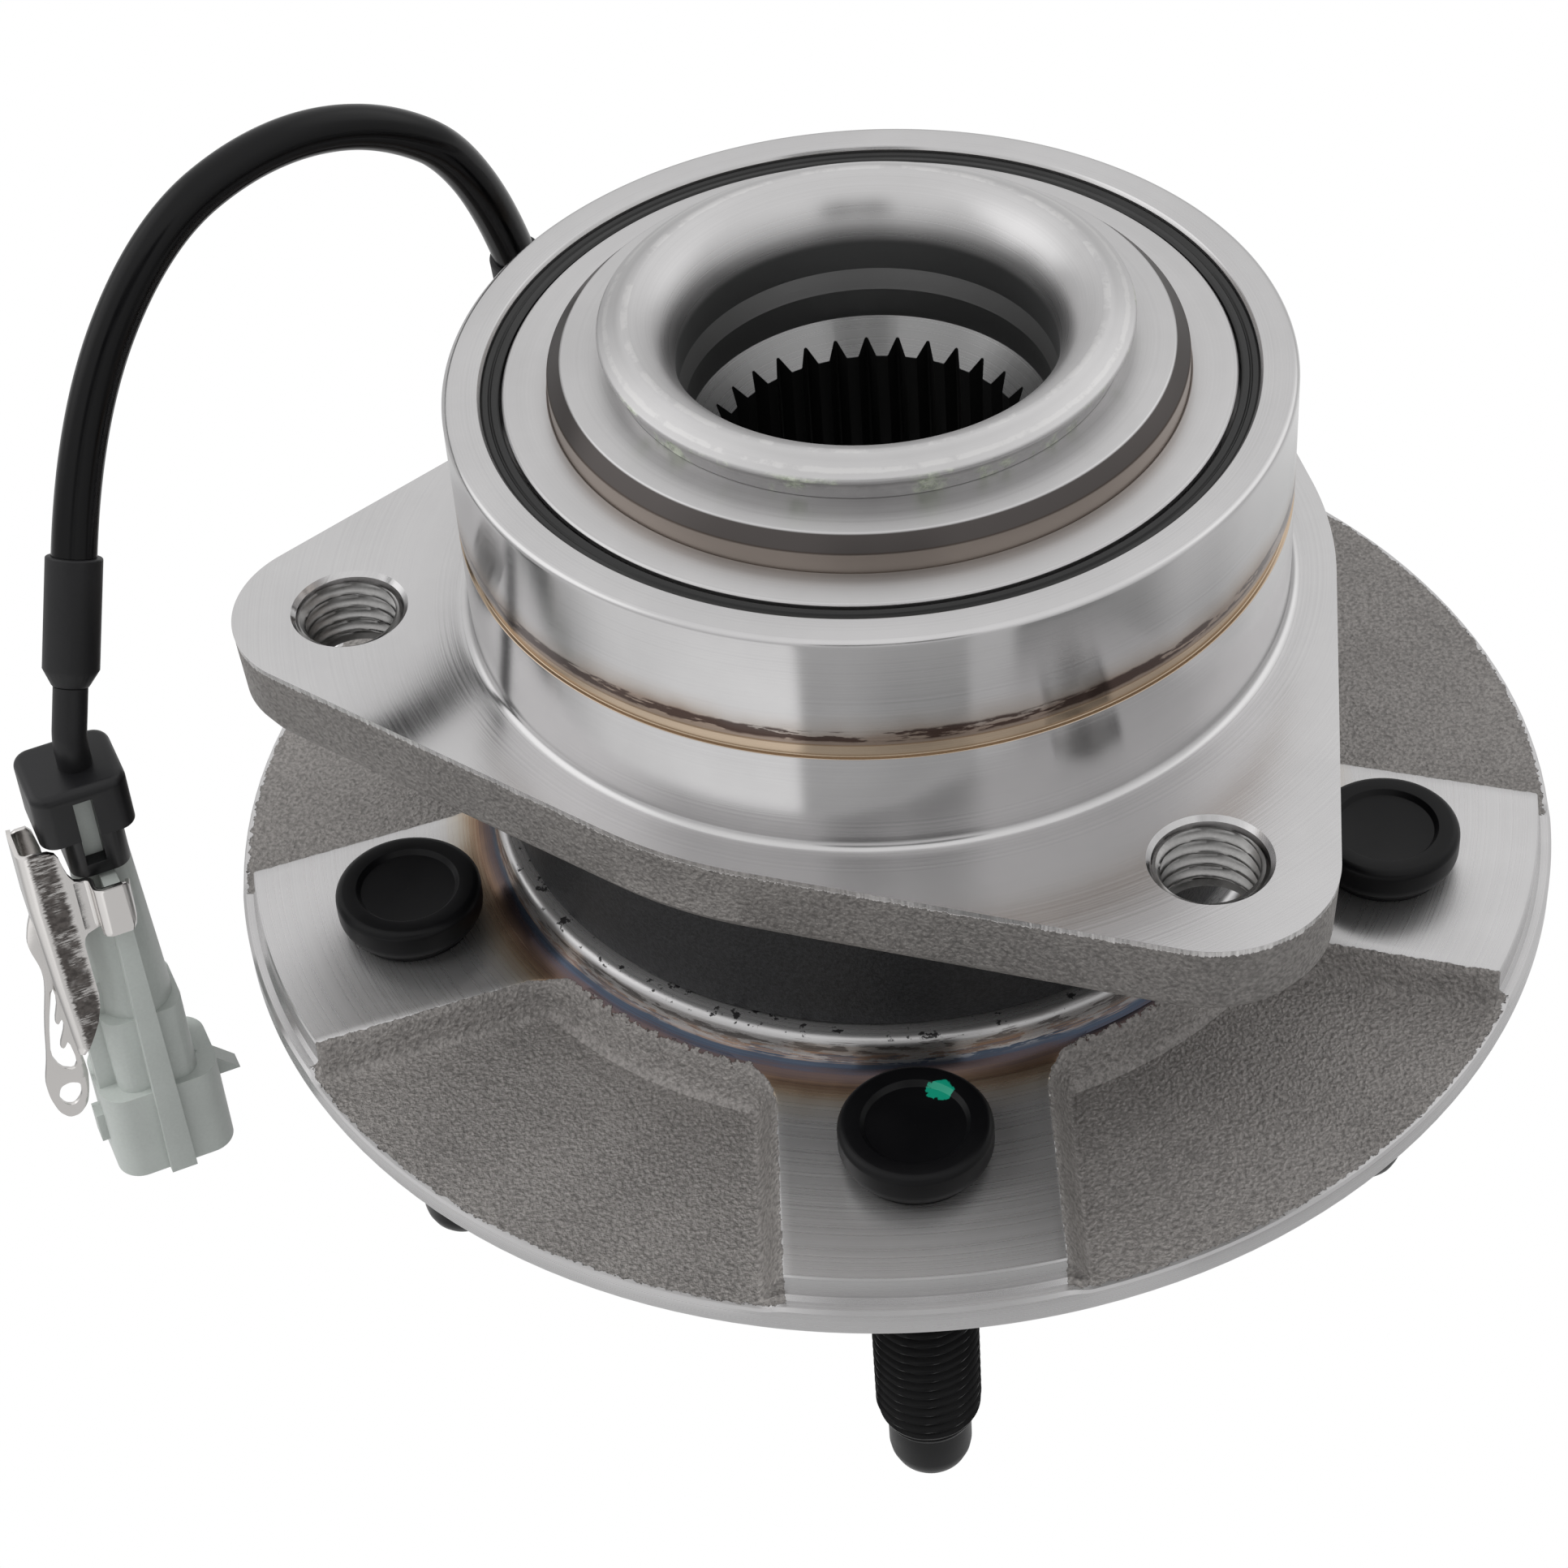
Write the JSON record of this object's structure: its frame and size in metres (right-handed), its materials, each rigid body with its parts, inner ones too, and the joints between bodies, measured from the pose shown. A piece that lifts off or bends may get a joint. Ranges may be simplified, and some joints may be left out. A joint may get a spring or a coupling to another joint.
{
  "type": "wheel hub bearing",
  "caption": "Driven wheel hub unit: studded wheel flange turning on ball rows in an eared carrier, splined bore, and a wheel-speed sensor lead with a clipped connector.",
  "frame": {"origin": "centre of the stud circle, on the hub's axis at the face that the wheel bolts to", "axes": "+Z along the hub's axis towards the drive shaft, the way the carrier's pilot points; -Z is the way the wheel studs point; one ear of the carrier points along -X"},
  "size_m": [0.1763, 0.1506, 0.1287],
  "materials": {
    "carrier_steel": "turned faces, shot-blasted forged edges, heat tint over the pilot groove",
    "hub_steel": "turned pads and bore, forged pockets between them",
    "bearing_steel": "ground",
    "ball_steel": "polished",
    "cage_plastic": "moulded, matt",
    "tone_steel": "sintered, matt",
    "seal_steel": "pressed sheet, satin",
    "seal_rubber": "satin",
    "stud_steel": "black satin coating",
    "sensor_plastic": "moulded, satin",
    "boot_rubber": "satin",
    "lead_sleeve": "glossy",
    "shrink_tube": "matt",
    "lead_core": "matt",
    "cover_plastic": "satin",
    "connector_plastic": "satin",
    "terminal_metal": "tin-plated, satin",
    "clip_steel": "bright spring steel with fine scratches"
  },
  "bodies": {
    "carrier": {"cable_core": "lead_core", "cable_sleeve": "lead_sleeve", "carrier_ear_1": "carrier_steel", "carrier_ear_2": "carrier_steel", "carrier_ear_3": "carrier_steel", "connector_body": "connector_plastic", "connector_cover": "cover_plastic", "heat_shrink": "shrink_tube", "inboard_seal_case": "seal_steel", "inboard_seal_lip": "seal_rubber", "outboard_seal_case": "seal_steel", "outboard_seal_lip": "seal_rubber", "outer_ring": "carrier_steel", "sensor_body": "sensor_plastic", "sensor_boot": "boot_rubber", "sensor_o_ring": "seal_rubber", "spring_clip": "clip_steel", "terminal_1": "terminal_metal", "terminal_2": "terminal_metal"},
    "wheel_hub": {"hub": "hub_steel", "inner_ring": "bearing_steel", "inboard_slinger": "seal_steel", "tone_ring": "tone_steel", "wheel_stud_1": "stud_steel", "wheel_stud_2": "stud_steel", "wheel_stud_3": "stud_steel", "wheel_stud_4": "stud_steel", "wheel_stud_5": "stud_steel"},
    "outboard_row": {"balls_outboard": "ball_steel", "cage_outboard": "cage_plastic"},
    "inboard_row": {"balls_inboard": "ball_steel", "cage_inboard": "cage_plastic"}
  },
  "joints": [
    {"name": "hub_spin", "type": "hinge", "parent": "carrier", "child": "wheel_hub", "pos_m": [0, 0, 0], "axis": [0, 0, 1], "continuous": true},
    {"name": "outboard_row_spin", "type": "hinge", "parent": "carrier", "child": "outboard_row", "pos_m": [0, 0, 0.0245], "axis": [0, 0, 1], "continuous": true},
    {"name": "inboard_row_spin", "type": "hinge", "parent": "carrier", "child": "inboard_row", "pos_m": [0, 0, 0.0535], "axis": [0, 0, 1], "continuous": true}
  ],
  "couplings": [
    {"joint": "outboard_row_spin", "follows": "hub_spin", "ratio": 0.4218},
    {"joint": "inboard_row_spin", "follows": "hub_spin", "ratio": 0.4218}
  ]
}
